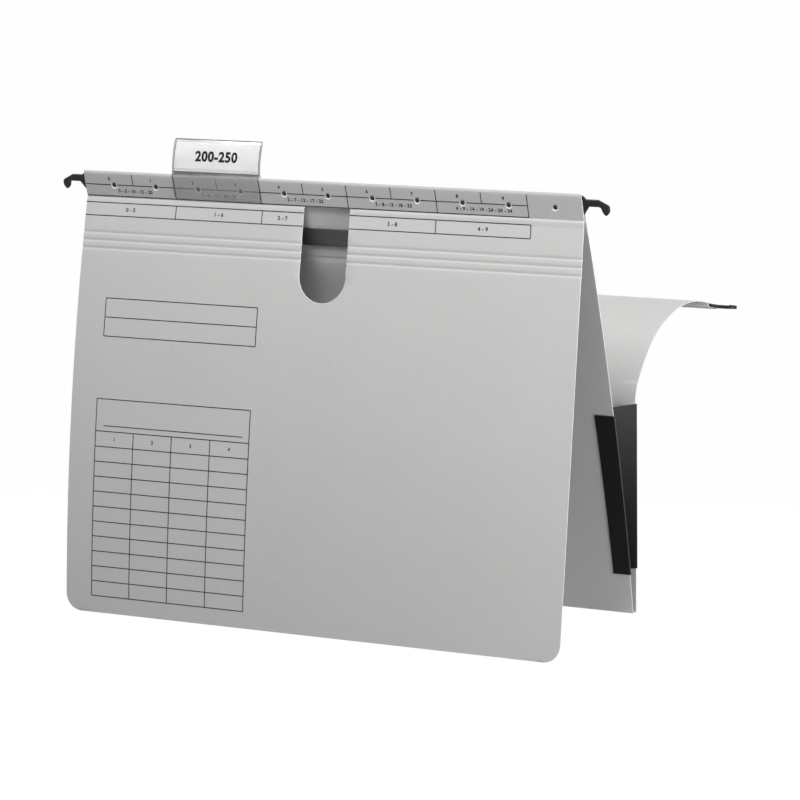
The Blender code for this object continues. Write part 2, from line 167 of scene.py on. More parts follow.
# Gussets
GUSSET_LOW = 0.0235
GUSSET_POCKET_LOW = 0.0255
GUSSET_TOP = 0.1192
GUSSET_FLAP_LOW = 0.0100
GUSSET_FLAP_TOP = 0.0116
CLOTH = 0.00035
CLOTH_LIFT = 0.0001
PLEAT_CLOTH = 0.0349
PLEAT_DEEPEST = 0.030
PLEAT_SHAPE = 1.3
PLEAT_STEPS = 28
CLOTH_ROWS = 32
CLOTH_CRISP = 60
SIDEWAYS = 0.7

# Camera fitted to the photograph's straight edges
CAMERA_PLACE = (1.0579, -1.8663, 0.1981)
CAMERA_AZIMUTH = 28.449
CAMERA_ELEVATION = 8.348
CAMERA_LENS = 173.65


class Wire:
    """A shader socket. Arithmetic on it adds Math nodes, and node() adds any other node."""

    def __init__(self, tree, socket=None):
        self.tree = tree
        self.socket = socket

    def node(self, kind, settings=None, inputs=None, output=0):
        made = self.tree.nodes.new("ShaderNode" + kind)
        for name, value in (settings or {}).items():
            setattr(made, name, value)
        for name, value in (inputs or {}).items():
            self.feed(made.inputs[name], value)
        return Wire(self.tree, made.outputs[output])

    def feed(self, socket, value):
        if isinstance(value, Wire):
            self.tree.links.new(value.socket, socket)
        else:
            socket.default_value = value

    def math(self, operation, first, second):
        return self.node("Math", {"operation": operation}, {0: first, 1: second})

    def __add__(self, other):
        return self.math("ADD", self, other)

    def __sub__(self, other):
        return self.math("SUBTRACT", self, other)

    def __mul__(self, other):
        return self.math("MULTIPLY", self, other)

    def clamp(self):
        return self.node("Clamp", inputs={0: self})

    def noise(self, scale, detail=2.0, roughness=0.5):
        """Noise over this vector, about 0 to 1."""
        return self.node("TexNoise", {"noise_dimensions": "3D"}, {
            "Vector": self, "Scale": scale, "Detail": detail, "Roughness": roughness})

    def threads(self, direction, scale):
        """Uneven parallel threads over this vector, 0 to 1."""
        inputs = {"Vector": self, "Scale": scale, "Distortion": 0.6, "Detail": 2.0, "Detail Scale": 2.0}
        return self.node(
            "TexWave", {"bands_direction": direction, "wave_profile": "SIN"}, inputs, output=1)

    def stretch(self, x, y, z):
        return self.node("VectorMath", {"operation": "MULTIPLY"}, {0: self, 1: (x, y, z)})

    def ramp(self, *stops):
        """Grey levels over this value, from pairs of a place and a level."""
        made = self.node("ValToRGB", inputs={0: self})
        elements = made.socket.node.color_ramp.elements
        while len(elements) < len(stops):
            elements.new(1.0)
        for stop, (place, level) in zip(elements, stops):
            stop.position = place
            stop.color = (level, level, level, 1.0)
        return made

    def tint(self, dark, light):
        """A colour between two, by this value."""
        inputs = {0: self, 6: (*dark, 1.0), 7: (*light, 1.0)}
        return self.node("Mix", {"data_type": "RGBA"}, inputs, output=2)

    def bump(self, strength, distance):
        return self.node("Bump", inputs={"Height": self, "Strength": strength, "Distance": distance})


def new_finish(name, **constants):
    """A material, its Principled shader's sockets with constant values set, and its object coordinates."""
    material = bpy.data.materials.new(name)
    material.use_nodes = True
    tree = material.node_tree
    shader = tree.nodes["Principled BSDF"]
    for socket, value in constants.items():
        shader.inputs[socket.replace("_", " ")].default_value = value
    return material, shader, Wire(tree).node("TexCoord", output=3)


def paint(shader, colour, roughness, normal=None):
    """Feeds what varies over a surface to its shader."""
    for name, wire in (("Base Color", colour), ("Roughness", roughness), ("Normal", normal)):
        if wire:
            wire.feed(shader.inputs[name], wire)


def grey_card(name, dark, light):
    """Recycled card: cloudy grey pulp with short fibres and a few darker flecks."""
    material, shader, place = new_finish(name, Specular_IOR_Level=0.25)
    cloud = place.noise(scale=26, detail=3)
    fibre = place.stretch(1, 2.2, 2.2).noise(scale=640, detail=3, roughness=0.6)
    specks = place.stretch(1, 1.7, 1.7).noise(scale=300)
    fleck = specks.ramp((0.0, 1.0), (0.27, 1.0), (0.33, 0.0))
    tone = (cloud * 0.35 + fibre * 0.65 - fleck * 0.4).clamp()
    tooth = (fibre + cloud * 0.5).bump(strength=0.08, distance=0.0002)
    paint(shader, tone.tint(dark, light), fibre * 0.16 + 0.74, tooth)
    return material


def woven_linen(name, dark, light, foot=1.0):
    """Black bookbinder's cloth: crossed threads of uneven thickness, over cloth coordinates in metres.

    foot is how much of the threads' paleness is left where the cloth starts, at the foot of a gusset: painted
    shade darkens the cloth towards its foot, and its top stays pale as painted light.
    """
    material, shader, _ = new_finish(
        name, Sheen_Weight=0.06, Sheen_Roughness=0.4, Specular_IOR_Level=0.1)
    cloth = Wire(material.node_tree).node("UVMap", {"uv_map": "cloth"})
    uneven = cloth.noise(scale=900)
    thread = cloth.threads("X", 860.0) * cloth.threads("Y", 800.0) + uneven * 0.5
    height = cloth.node("SeparateXYZ", inputs={0: cloth}, output=1)
    # Painted light and shade: paler towards the top of the cloth, darker towards its foot.
    painted_top_light = height * height * ((1 - foot) / (GUSSET_TOP - GUSSET_LOW) ** 2) + foot
    colour = (thread * painted_top_light).tint((dark,) * 3, (light,) * 3)
    paint(shader, colour, thread * -0.15 + 0.85, thread.bump(strength=0.5, distance=0.00015))
    return material


def moulded_plastic():
    """Black hook plastic with a fine spark grain and lighter rubbed patches."""
    material, shader, place = new_finish("hook_plastic", Specular_IOR_Level=0.25)
    grain = place.noise(scale=2600, detail=3)
    rub = place.noise(scale=120).ramp((0.45, 0.0), (0.75, 1.0))
    colour = rub.tint((0.007, 0.007, 0.0075), (0.022, 0.022, 0.023))
    paint(shader, colour, grain * 0.2 + 0.36, grain.bump(strength=0.15, distance=0.0001))
    return material


def rolled_metal(name, dark, light, rough, metallic):
    """Strip metal with streaks along the rolling direction."""
    material, shader, place = new_finish(name, Metallic=metallic)
    streak = place.stretch(14, 900, 900).noise(scale=1.0, detail=4, roughness=0.6)
    cloud = place.noise(scale=70, detail=3)
    colour = (streak * 0.6 + cloud * 0.4).tint(dark, light)
    paint(shader, colour, streak * 0.25 + rough, streak.bump(strength=0.1, distance=0.0001))
    return material


def clear_plastic(name, colour, rough, clarity=1.0):
    """Clear film with faint draw lines and finger haze. Less clarity makes it milky."""
    material, shader, place = new_finish(name, Transmission_Weight=clarity, IOR=1.2)
    haze = place.noise(scale=90, detail=3)
    line = place.stretch(6, 700, 700).noise(scale=1.0)
    clouded = haze.tint(colour, tuple(min(1.0, level * 1.06) for level in colour))
    paint(shader, clouded, haze * rough, line.bump(strength=0.06, distance=0.0001))
    return material


def label_paper():
    """Smooth white label stock with a little tooth."""
    material, shader, place = new_finish("label_paper")
    tooth = place.noise(scale=1100, detail=4)
    colour = tooth.tint((0.75, 0.75, 0.745), (0.83, 0.83, 0.825))
    paint(shader, colour, tooth * 0.2 + 0.5, tooth.bump(strength=0.08, distance=0.0001))
    return material


def printing_ink(name, level):
    """Dry black offset ink, thin enough that the card's tooth breaks it."""
    material, shader, place = new_finish(name, Specular_IOR_Level=0.1)
    wear = place.noise(scale=1500, detail=3)
    paint(shader, wear.tint((level,) * 3, (level * 1.9,) * 3), wear * 0.2 + 0.6)
    return material


CARD_FACE = grey_card("grey_card", (0.55, 0.545, 0.541), (0.631, 0.625, 0.619))
# Cut rims, crushed edges and hole lips: card paler than its face, lifted to near white as a painted highlight
# where the edges catch the light.
PALE_EDGE_HIGHLIGHT = grey_card("cut_edge_painted_highlight", (0.84, 0.84, 0.835), (0.93, 0.93, 0.925))
# Darker card for the header strip: painted shade, since the strip faces downwards, away from the light.
STRIP_SHADE_CARD = grey_card("strip_painted_shade", (0.487, 0.484, 0.481), (0.558, 0.554, 0.551))
LINEN = woven_linen("black_linen", 0.005, 0.019)
# Web cloth painted much paler than the flaps, a painted light on the web, and darker towards its foot, a painted
# shade deep in the pleat.
WEB_LINEN = woven_linen("web_linen_painted_light", 0.007, 0.1, 0.2)
# Paler cloth where the panel flap wraps round the card's edge, with painted light towards its top and painted
# shade towards its foot.
PALE_WRAP_LINEN = woven_linen("pale_wrap_linen", 0.022, 0.13, 0.55)
HOOK_PLASTIC = moulded_plastic()
# Rail metal near black, a painted shade: it darkens what shows through the strip's holes.
RAIL_STEEL = rolled_metal("rail_steel_painted_dark", (0.03, 0.031, 0.034), (0.075, 0.077, 0.08), 0.35, 1.0)
PRONG_STEEL = rolled_metal("bright_steel", (0.33, 0.335, 0.345), (0.5, 0.505, 0.515), 0.28, 1.0)
LACQUER = rolled_metal("fastener_lacquer", (0.03, 0.03, 0.032), (0.06, 0.06, 0.062), 0.35, 0.0)
CLEAR = clear_plastic("clear_film", (0.84, 0.84, 0.84), 0.02)
LEG_FILM = clear_plastic("clear_leg", (0.66, 0.66, 0.665), 0.05, 0.88)
# Darker film in a band round the tab's neck.
NECK_FILM = clear_plastic("dark_neck_film", (0.36, 0.36, 0.365), 0.3)
FILM_EDGE = clear_plastic("film_edge", (0.2, 0.2, 0.203), 0.3)
PAPER = label_paper()
INK = printing_ink("field_ink", 0.03)
BOLD_INK = printing_ink("label_ink", 0.006)


class Leaf:
    """A sheet's own axes: x along the rail, t down from its fold, out from its front face."""

    def __init__(self, fold, down):
        self.fold = Vector(fold)
        self.down = Vector(down).normalized()
        self.out = Vector((0, self.down.z, -self.down.y))

    def at(self, x, t, out=0.0):
        return self.fold + Vector((x, 0, 0)) + self.down * t + self.out * out


def tilted(degrees):
    """Straight down, swung backwards by an angle."""
    angle = math.radians(degrees)
    return (0, math.sin(angle), -math.cos(angle))


PANEL = Leaf((0, 0, 0), MOUNTS["front_hook_left_bearing"]["axis"])
COVER = Leaf(JOINTS["cover_hinge"]["pos_m"], tilted(-COVER_TILT))
POCKET = Leaf(JOINTS["pocket_hinge"]["pos_m"], tilted(POCKET_TILT))
FOLD_DOWN = HEADER - RIDGE
RIDGE_CENTRE = RIDGE - LAYER - CARD / 2


def smooth(share):
    """A rise from 0 to 1 that starts and ends gently."""
    share = min(max(share, 0.0), 1.0)
    return share * share * (3 - 2 * share)


def arch(share):
    """0 at both ends and 1 halfway."""
    return 4 * share * (1 - share)


def swell(along, rise, fall):
    """0 before a start, 1 after a rise from there, and 0 again after a fall."""
    return smooth(along / rise) if along < rise else 1 - smooth((along - rise) / fall)


def cover_face(x, t, lift=0.0):
    """Front face of the cover: bowed towards its left edge, where its fold rolls in, and creased below.

    Towards the right edge the fold stands out as a ridge.
    """
    side = (HALF_WIDTH - x) / (2 * HALF_WIDTH)
    bow = COVER_BOW * side * arch(t / COVER_LENGTH)
    roll = -ROLL_DEPTH * side * max(0.0, 1 - t / ROLL) ** 2
    ridge = FOLD_RIDGE * (1 - side) * swell(t, FOLD_RISE, FOLD_FALL)
    creases = -CREASE_DEPTH * sum(swell(t - start, CREASE_IN, CREASE_OUT) for start in CREASES)
    return COVER.at(x, t, lift + bow + roll + ridge + creases)


def strip_face(x, up, lift=0.0):
    """Front face of the header strip, at a height above the cover's fold."""
    return PANEL.at(x, FOLD_DOWN - up, LAYER + CARD / 2 + lift)


def panel_bow(x, t):
    """The back panel bows backwards, but stays flat where the fastener stiffens it."""
    flat = smooth((HALF_WIDTH - abs(x)) / (HALF_WIDTH - PANEL_STIFF_HALF))
    held = flat * (1 - smooth((t - PANEL_CREASE) / (PANEL_STIFF_END - PANEL_CREASE)))
    return PANEL_BOW * arch(max(t, 0.0) / BACK_LENGTH) * (1 - held)


def panel_middle(x, t, out=0.0):
    """Middle of the back panel's card, at a distance down from the cover's fold."""
    fading = 1 - smooth((abs(x) - PANEL_CREASE_HALF) / PANEL_CREASE_FADE)
    crease = PANEL_CREASE_DEPTH * fading * swell(t - PANEL_CREASE, PANEL_CREASE_IN, PANEL_CREASE_OUT)
    return PANEL.at(x, FOLD_DOWN + t, out - LAYER - panel_bow(x, t) - crease)


def surface(points, keep=None, cloth=None):
    """An open mesh over rows of points. keep says which cells it has, and cloth its coordinates."""
    shape = bmesh.new()
    layer = shape.loops.layers.uv.new("cloth") if cloth else None
    verts = [[shape.verts.new(point) for point in row] for row in points]
    for i in range(len(points) - 1):
        for j in range(len(points[0]) - 1):
            if keep and not keep(i, j):
                continue
            corners = ((i, j), (i + 1, j), (i + 1, j + 1), (i, j + 1))
            face = shape.faces.new([verts[a][b] for a, b in corners])
            if layer:
                for loop, (a, b) in zip(face.loops, corners):
                    loop[layer].uv = cloth(a, b)
    return shape, verts


def thicken(shape, thickness, crush=None, whole=True):
    """Makes an open mesh a closed sheet, half its thickness to each side, its cut rim crushed a little.

    Without whole, the edges that run along the rail are seams, and they stay plain.
    """
    bmesh.ops.delete(shape, geom=[vert for vert in shape.verts if not vert.link_faces], context="VERTS")
    shape.normal_update()
    faces = list(shape.faces)
    rims = []
    for edge in shape.edges:
        if edge.is_boundary:
            loop = edge.link_loops[0]
            rims.append((loop.vert, loop.link_loop_next.vert))
    far = {}
    for vert in list(shape.verts):
        reach = vert.normal * thickness / 2
        far[vert] = shape.verts.new(vert.co - reach)
        vert.co += reach
    layer = shape.loops.layers.uv.get("cloth")
    for face in faces:
        back = shape.faces.new([far[vert] for vert in reversed(face.verts)])
        back.material_index = face.material_index
        if layer:
            for loop, source in zip(back.loops, reversed(face.loops)):
                loop[layer].uv = source[layer].uv
    front_cut, rear_cut = [], []
    for a, b in rims:
        rim = shape.faces.new((b, a, far[a], far[b]))
        if whole or abs(a.co.x - b.co.x) < TINY:
            rim.material_index = EDGE_FINISH
            front_cut.append(shape.edges.get((a, b)))
            rear_cut.append(shape.edges.get((far[a], far[b])))
    if crush:
        for cut, offset in ((front_cut, crush[0]), (rear_cut, crush[1])):
            bmesh.ops.bevel(
                shape, geom=cut, offset=offset, segments=1, profile=0.5, affect="EDGES",
                material=EDGE_FINISH, clamp_overlap=True)
    return shape


def cut_across(shape, place, direction):
    """Cuts a mesh's faces along a plane, without taking anything away."""
    everything = shape.verts[:] + shape.edges[:] + shape.faces[:]
    bmesh.ops.bisect_plane(shape, geom=everything, plane_co=place, plane_no=direction)


def placed(name, data):
    """A new object in the scene."""
    made = bpy.data.objects.new(name, data)
    bpy.context.scene.collection.objects.link(made)
    return made


def piece(name, shape, finishes, crisp=35):
    """A finished object from a mesh, shaded smooth up to an edge angle."""
    mesh = bpy.data.meshes.new(name)
    shape.to_mesh(mesh)
    shape.free()
    for finish in finishes:
        mesh.materials.append(finish)
    mesh.shade_smooth()
    mesh.set_sharp_from_angle(angle=math.radians(crisp))
    made = placed(name, mesh)
    return made


def spread(start, end, step):
    """Evenly spaced values from start to end, no further apart than a step."""
    return list(np.linspace(start, end, max(2, math.ceil(abs(end - start) / step) + 1)))


def merged(*groups):
    """Sorted values of several lists, without near doubles."""
    values = sorted(value for group in groups for value in group)
    kept = [values[0]]
    for value in values[1:]:
        if value - kept[-1] > NEAR:
            kept.append(value)
    return kept


def cover_columns():
    """Places across the cover, closer at its slot and its round corners."""
    inner = HALF_WIDTH - CORNER
    slot = [SLOT_HALF * math.sin(math.radians(angle)) for angle in range(-90, 91, SLOT_TURN)]
    corner = [inner + CORNER * math.sin(math.radians(angle)) for angle in range(0, 91, CORNER_TURN)]
    side = merged(spread(SLOT_HALF, inner, COVER_COLUMN_STEP), corner)
    return merged([-x for x in side], slot, side)


def cover_rows():
    """Depths down the cover, closer at its fold, its creases and its foot."""
    pressed = []
    for start in CREASES:
        pressed += spread(start, start + CREASE_IN + CREASE_OUT, COVER_CREASE_STEP)
    fold_end = FOLD_RISE + FOLD_FALL
    rolled = spread(FOLD_START, fold_end, COVER_FOLD_STEP)
    flat = spread(fold_end, CREASES[0], COVER_ROW_STEP)
    flat += spread(CREASES[-1] + CREASE_IN + CREASE_OUT, SLOT_START, COVER_SLOT_STEP)
    lower = spread(SLOT_START, FOOT_START, COVER_ROW_STEP)
    foot = spread(FOOT_START, COVER_LENGTH, COVER_FOOT_STEP)
    return merged(rolled, flat, pressed, lower, foot)


def make_cover():
    """Cover card, with its rows drawn together round the slot and the lower corners."""
    columns, rows = cover_columns(), cover_rows()
    inner = HALF_WIDTH - CORNER

    def drawn(x, t):
        if abs(x) < SLOT_HALF and SLOT_START - TINY <= t < SLOT_EASE:
            top = SLOT_START + math.sqrt(SLOT_HALF ** 2 - x ** 2)
            return top + (t - SLOT_START) * (SLOT_EASE - top) / (SLOT_EASE - SLOT_START)
        if abs(x) > inner and t > FOOT_START:
            foot = COVER_LENGTH - CORNER + math.sqrt(max(0.0, CORNER ** 2 - (abs(x) - inner) ** 2))
            return FOOT_START + (t - FOOT_START) * (foot - FOOT_START) / (COVER_LENGTH - FOOT_START)
        return t

    def keep(i, j):
        middle = (columns[j] + columns[j + 1]) / 2
        return abs(middle) > SLOT_HALF or rows[i] > SLOT_START - NEAR

    points = [[cover_face(x, drawn(x, t), -CARD / 2) for x in columns] for t in rows]
    shape, _ = surface(points, keep)
    cover = piece("cover_card", thicken(shape, CARD, CRUSH), (CARD_FACE, PALE_EDGE_HIGHLIGHT))
    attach(cover, "cover")
    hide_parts("front_cover")


def hole_places():
    """Middles of the strip's holes along the rail."""
    return [HOLE_FIRST + (HOLE_LAST - HOLE_FIRST) * index / (HOLES - 1) for index in range(HOLES)]


def back_rows():
    """Heights of the strip, steps round the ridge and depths of the panel, as (kind, value)."""
    block = [HOLE_UP + HOLE_BLOCK * share for share in BLOCK_SHARES]
    strip = merged(
        block, spread(0, HOLE_UP - HOLE_BLOCK, STRIP_ROW_STEP),
        spread(HOLE_UP + HOLE_BLOCK, HEADER - RIDGE + RIDGE_CENTRE, STRIP_ROW_STEP))
    slit = [PRONG_BELOW - SLIT_HALF_HEIGHT, PRONG_BELOW + SLIT_HALF_HEIGHT]
    crease_low = PANEL_CREASE + PANEL_CREASE_IN
    crease_end = crease_low + PANEL_CREASE_OUT
    panel = merged(
        slit, spread(-FOLD_DOWN - RIDGE_CENTRE, PANEL_CREASE, BACK_ROW_STEP),
        spread(PANEL_CREASE, crease_low, BACK_CREASE_IN_STEP),
        spread(crease_low, crease_end, BACK_CREASE_OUT_STEP),
        spread(crease_end, BACK_LENGTH - CARD / 2, BACK_ROW_STEP))
    arc = [180 - 180 * step / FOLD_STEPS for step in range(1, FOLD_STEPS)]
    rows = [("strip", up) for up in strip] + [("ridge", angle) for angle in arc]
    return rows + [("panel", t) for t in panel] + [("floor", POCKET_FLOOR)]


def back_point(kind, value, x):
    """Middle of the back card at one of its rows."""
    if kind == "strip":
        return strip_face(x, value, -CARD / 2)
    if kind == "ridge":
        angle = math.radians(value)
        return PANEL.at(x, -RIDGE_CENTRE - LAYER * math.sin(angle), -LAYER * math.cos(angle))
    if kind == "panel":
        return panel_middle(x, value)
    return panel_middle(x, BACK_LENGTH - CARD / 2) + Vector((0, value, 0))


def make_back_card():
    """Header strip with its holes, fold over the rail, back panel and pocket floor, in one card.

    The strip's face takes a darker card, a painted shade for its tilt downwards, away from the light.
    """
    rows = back_rows()
    holes = hole_places()
    blocks = [x + HOLE_BLOCK * share for x in holes for share in BLOCK_SHARES]
    slits = [side * PRONG_X + edge for side in (-1, 1) for edge in (-SLIT_HALF_WIDTH, SLIT_HALF_WIDTH)]
    columns = merged(blocks, slits, spread(-HALF_WIDTH, HALF_WIDTH, BACK_COLUMN_STEP))

    def punched(i, j):
        kind, value = rows[i]
        middle = (columns[j] + columns[j + 1]) / 2
        if kind == "strip":
            near = min(abs(middle - x) for x in holes)
            return near < HOLE_BLOCK and abs(value + rows[i + 1][1] - 2 * HOLE_UP) < 2 * HOLE_BLOCK
        in_slit = abs(abs(middle) - PRONG_X) < SLIT_HALF_WIDTH
        return kind == "panel" and in_slit and abs(value + NEAR - PRONG_BELOW) < SLIT_HALF_HEIGHT

    points = [[back_point(kind, value, x) for x in columns] for kind, value in rows]
    shape, verts = surface(points, lambda i, j: not punched(i, j))
    block_foot = HOLE_UP - HOLE_BLOCK - NEAR
    low = min(i for i, (kind, up) in enumerate(rows) if kind == "strip" and up > block_foot)
    high = low + len(BLOCK_SHARES) - 1
    for x in holes:
        first = min(j for j, column in enumerate(columns) if column > x - HOLE_BLOCK - NEAR)
        last = max(j for j, column in enumerate(columns) if column < x + HOLE_BLOCK + NEAR)
        rim_hole(shape, verts, low, high, first, last, x)
    # Painted shade: the strip's front faces take the darker card.
    for face in shape.faces:
        in_strip = (face.calc_center_median() - PANEL.fold).dot(PANEL.out) > 0
        if in_strip and not face.material_index:
            face.material_index = SHADE_FINISH
    back = piece("back_card", thicken(shape, CARD, CRUSH), (CARD_FACE, PALE_EDGE_HIGHLIGHT, STRIP_SHADE_CARD))
    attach(back, "back")
    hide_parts("back_panel")


def rim_hole(shape, verts, low, high, first, last, x):
    """Fills the block of cells round one hole with a flat ring and a lip that the punch pressed in.

    Low on the right the inner lip takes the pale edge card: a painted highlight, where the sunk lip would catch
    the light.
    """
    around = [verts[low][j] for j in range(first, last)]
    around += [verts[i][last] for i in range(low, high)]
    around += [verts[high][j] for j in range(last, first, -1)]
    around += [verts[i][first] for i in range(high, low, -1)]
    centre = strip_face(x, HOLE_UP, -CARD / 2)
    rings = [around]
    for radius, sink in ((HOLE_LIP, 0.0), (HOLE_RADIUS, HOLE_SINK)):
        hub = centre - PANEL.out * sink
        rings.append([shape.verts.new(hub + (vert.co - centre).normalized() * radius) for vert in around])
    for outer, inner in zip(rings, rings[1:]):
        for index in range(len(around)):
            after = (index + 1) % len(around)
            lip = shape.faces.new((outer[after], outer[index], inner[index], inner[after]))
            reach = outer[after].co + outer[index].co - 2 * centre
            # Painted highlight: the inner lip's lower right takes the pale edge card.
            if inner is rings[-1] and reach.x + reach.dot(PANEL.down) > 0:
                lip.material_index = EDGE_FINISH


def add_line(shape, face, start, end, width=LINE):
    """A printed line as a thin strip of ink that follows a card's face."""
    (x0, t0), (x1, t1) = start, end
    length = math.hypot(x1 - x0, t1 - t0)
    side = ((t1 - t0) / length * width / 2, -(x1 - x0) / length * width / 2)
    rings = []
    for share in spread(0.0, 1.0, INK_STEP / length):
        x, t = x0 + (x1 - x0) * share, t0 + (t1 - t0) * share
        corners = ((1, INK_LIFT), (-1, INK_LIFT), (-1, INK_LIFT + INK_DEPTH), (1, INK_LIFT + INK_DEPTH))
        rings.append([
            shape.verts.new(face(x + sign * side[0], t + sign * side[1], lift)) for sign, lift in corners])
    for before, after in zip(rings, rings[1:]):
        for i in range(4):
            j = (i + 1) % 4
            shape.faces.new((before[i], before[j], after[j], after[i]))
    shape.faces.new(rings[0][::-1])
    shape.faces.new(rings[-1])


def add_box(shape, face, left, right, top, foot):
    """A printed box of four lines."""
    for start, end in (
            ((left, top), (right, top)), ((left, foot), (right, foot)),
            ((left, top), (left, foot)), ((right, top), (right, foot))):
        add_line(shape, face, start, end)


def numeral_mesh(text, size, bold):
    """Plain numbers as a flat mesh of ink, centred on the origin and cut into level bands."""
    curve = bpy.data.curves.new("numerals", "FONT")
    curve.body = text
    curve.size = size
    curve.align_x = "CENTER"
    curve.align_y = "CENTER"
    curve.extrude = INK_DEPTH / 2
    curve.offset = bold
    curve.space_character = 1 + 2 * bold / size
    curve.resolution_u = 4
    lettered = placed("numerals", curve)
    shown = lettered.evaluated_get(bpy.context.evaluated_depsgraph_get())
    mesh = bpy.data.meshes.new_from_object(shown)
    bpy.data.objects.remove(lettered)
    shape = bmesh.new()
    shape.from_mesh(mesh)
    for level in spread(-size / 2, size / 2, INK_BAND):
        cut_across(shape, (0, level, 0), (0, 1, 0))
    shape.to_mesh(mesh)
    shape.free()
    return mesh


def add_number(shape, face, text, size, x, t, upwards=-1, bold=0.0):
    """Numbers laid on a card's face. upwards is the sign of the face's second axis towards the top."""
    mesh = numeral_mesh(text, size, bold)
    for vert in mesh.vertices:
        u, v, w = vert.co
        vert.co = face(x + u, t + upwards * v, INK_LIFT + INK_DEPTH / 2 + w)
    shape.from_mesh(mesh)


# Printed fields of the cover, measured from its middle and down from its fold
INDEX_TOP, INDEX_FOOT, INDEX_END = 0.0036, 0.0111, 0.1273
INDEX_DIVIDERS = (-0.0983, -0.0415, 0.069)
TITLE_LEFT, TITLE_RIGHT, TITLE_TOP, TITLE_FOOT = -0.1400, -0.0399, 0.0583, 0.0802
TABLE_LEFT, TABLE_RIGHT, TABLE_TOP, TABLE_FOOT = -0.1418, -0.0405, 0.1163, 0.2303
NOTE_LEFT, NOTE_RIGHT, NOTE_AT = -0.1366, -0.0448, 0.1317
HEADS_TOP, HEADS_FOOT = 0.1349, 0.1438
TABLE_ROWS = 10
TABLE_COLUMNS = 4
INDEX_SIZE = 0.0031
HEAD_SIZE = 0.0028
SMALL_BOLD = 0.0001


def make_cover_printing():
    """Index boxes, title box and table as ruled lines, with plain numbers for their words."""
    shape = bmesh.new()
    for left, right in ((-HALF_WIDTH, -SLOT_HALF), (SLOT_HALF, INDEX_END)):
        for t in (INDEX_TOP, INDEX_FOOT):
            add_line(shape, cover_face, (left, t), (right, t))
    for x in (*INDEX_DIVIDERS, INDEX_END):
        add_line(shape, cover_face, (x, INDEX_TOP), (x, INDEX_FOOT))
    add_box(shape, cover_face, TITLE_LEFT, TITLE_RIGHT, TITLE_TOP, TITLE_FOOT)
    middle = (TITLE_TOP + TITLE_FOOT) / 2
    add_line(shape, cover_face, (TITLE_LEFT, middle), (TITLE_RIGHT, middle))
    add_box(shape, cover_face, TABLE_LEFT, TABLE_RIGHT, TABLE_TOP, TABLE_FOOT)
    add_line(shape, cover_face, (NOTE_LEFT, NOTE_AT), (NOTE_RIGHT, NOTE_AT))
    pitch = (TABLE_FOOT - HEADS_FOOT) / TABLE_ROWS
    for t in (HEADS_TOP, *(HEADS_FOOT + pitch * row for row in range(TABLE_ROWS))):
        add_line(shape, cover_face, (TABLE_LEFT, t), (TABLE_RIGHT, t))
    column = (TABLE_RIGHT - TABLE_LEFT) / TABLE_COLUMNS
    for index in range(1, TABLE_COLUMNS):
        x = TABLE_LEFT + column * index
        add_line(shape, cover_face, (x, HEADS_TOP), (x, TABLE_FOOT))
    ruling = piece("cover_ruling", shape, (INK,))
    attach(ruling, "cover")

    shape = bmesh.new()
    edges = (-HALF_WIDTH, INDEX_DIVIDERS[0], INDEX_DIVIDERS[1], -SLOT_HALF)
    boxes = list(zip(edges, edges[1:])) + [(SLOT_HALF, INDEX_DIVIDERS[2]), (INDEX_DIVIDERS[2], INDEX_END)]
    for number, (left, right) in enumerate(boxes):
        x, t = (left + right) / 2, (INDEX_TOP + INDEX_FOOT) / 2
        text = f"{number} - {number + COUNT_ON}"
        add_number(shape, cover_face, text, INDEX_SIZE, x, t, bold=SMALL_BOLD)
    for index in range(TABLE_COLUMNS):
        x, t = TABLE_LEFT + column * (index + 0.5), (HEADS_TOP + HEADS_FOOT) / 2
        add_number(shape, cover_face, str(index + 1), HEAD_SIZE, x, t, bold=SMALL_BOLD)
    numbers = piece("cover_numbers", shape, (INK,))
    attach(numbers, "cover")


# Scale printed on the header strip, measured up from the cover's fold
SCALE_FIRST = -0.1266
SCALE_PITCH = 0.02805
SCALE_CELLS = 10
SCALE_MIDDLE = 0.0072
SCALE_DIGIT_UP = 0.0108
SCALE_DIGIT_BACK = 0.0028
SCALE_NOTE_UP = 0.0036
SCALE_SIZE = 0.0028
SCALE_NOTES = (5, 5, 5, 5, 7)
SCALE_NOTE_SHIFT = 0.001
SCALE_INSET = 0.0004


def make_scale_printing():
    """Ruled scale along the header strip, with a digit for each hole and rows of small numbers."""
    shape = bmesh.new()
    start, end = -HALF_WIDTH + SCALE_INSET, SCALE_FIRST + SCALE_PITCH * (SCALE_CELLS - 1)
    rims = [x + side * HOLE_LIP for x in hole_places()[:SCALE_CELLS] for side in (-1, 1)]
    for left, right in zip([start, *rims[1::2]], [*rims[::2], end]):
        add_line(shape, strip_face, (left, SCALE_MIDDLE), (right, SCALE_MIDDLE))
    add_line(shape, strip_face, (start, SCALE_INSET), (end, SCALE_INSET))
    top = HEADER + RIDGE_CENTRE - RIDGE
    for index in range(SCALE_CELLS):
        x = SCALE_FIRST + SCALE_PITCH * index
        foot = SCALE_INSET if index % 2 else SCALE_MIDDLE
        add_line(shape, strip_face, (x, foot), (x, top))
    ruling = piece("scale_ruling", shape, (INK,))
    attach(ruling, "back")

    shape = bmesh.new()
    for index, x in enumerate(hole_places()[:SCALE_CELLS]):
        add_number(
            shape, strip_face, str(index), SCALE_SIZE, x - SCALE_DIGIT_BACK, SCALE_DIGIT_UP, 1, SMALL_BOLD)
    for index, count in enumerate(SCALE_NOTES):
        row = " - ".join(str(index + step * COUNT_ON) for step in range(count))
        x = SCALE_FIRST + SCALE_PITCH * 2 * index + SCALE_NOTE_SHIFT
        add_number(shape, strip_face, row, SCALE_SIZE, x, SCALE_NOTE_UP, 1, SMALL_BOLD)
    numbers = piece("scale_numbers", shape, (INK,))
    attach(numbers, "back")


